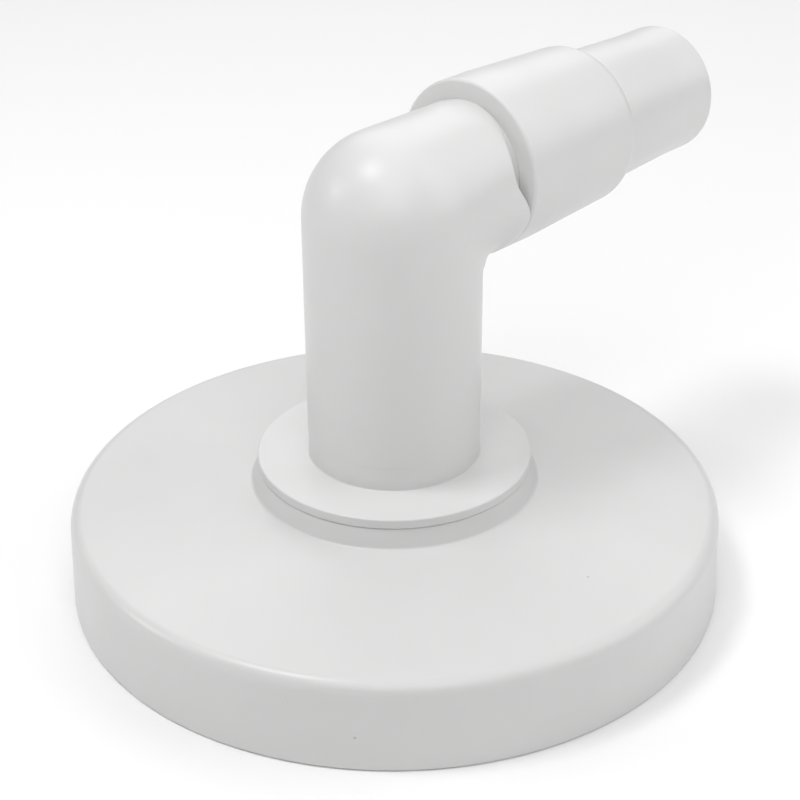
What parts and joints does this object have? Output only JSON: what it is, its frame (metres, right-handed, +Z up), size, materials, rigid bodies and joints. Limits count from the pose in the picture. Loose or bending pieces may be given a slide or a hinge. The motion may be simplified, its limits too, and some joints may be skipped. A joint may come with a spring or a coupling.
{
  "type": "swivel-elbow vacuum cap",
  "caption": "Round dish-shaped cap with a skirt and a raised boss, carrying a swivelling right-angle elbow with a stepped hose tail for two hose sizes.",
  "frame": {"origin": "on the swivel axis, in the plane of the skirt's lip, at the mouth of the straight wall inside the lip", "axes": "+Z up along the swivel axis, +X along the hose tail towards its mouth"},
  "size_m": [0.2148, 0.188, 0.1416],
  "materials": {
    "plate_plastic": "satin moulded ABS",
    "elbow_plastic": "satin moulded ABS",
    "nut_plastic": "matt moulded plastic",
    "washer_plastic": "natural acetal",
    "seal_rubber": "soft matt",
    "screw_steel": "passivated stainless"
  },
  "bodies": {
    "plate": {"vac_plate": "plate_plastic", "basket_seal": "seal_rubber", "slip_washer": "washer_plastic"},
    "elbow": {"swivel_sleeve": "elbow_plastic", "upper_o_ring": "seal_rubber", "lower_o_ring": "seal_rubber", "elbow_bend": "elbow_plastic", "hose_tail": "elbow_plastic", "thrust_washer": "washer_plastic", "lock_nut": "nut_plastic", "nut_lock_screws": "screw_steel"}
  },
  "joints": [
    {"name": "elbow_swivel", "type": "hinge", "parent": "plate", "child": "elbow", "pos_m": [0, 0, 0.0375], "axis": [0, 0, 1], "continuous": true}
  ]
}
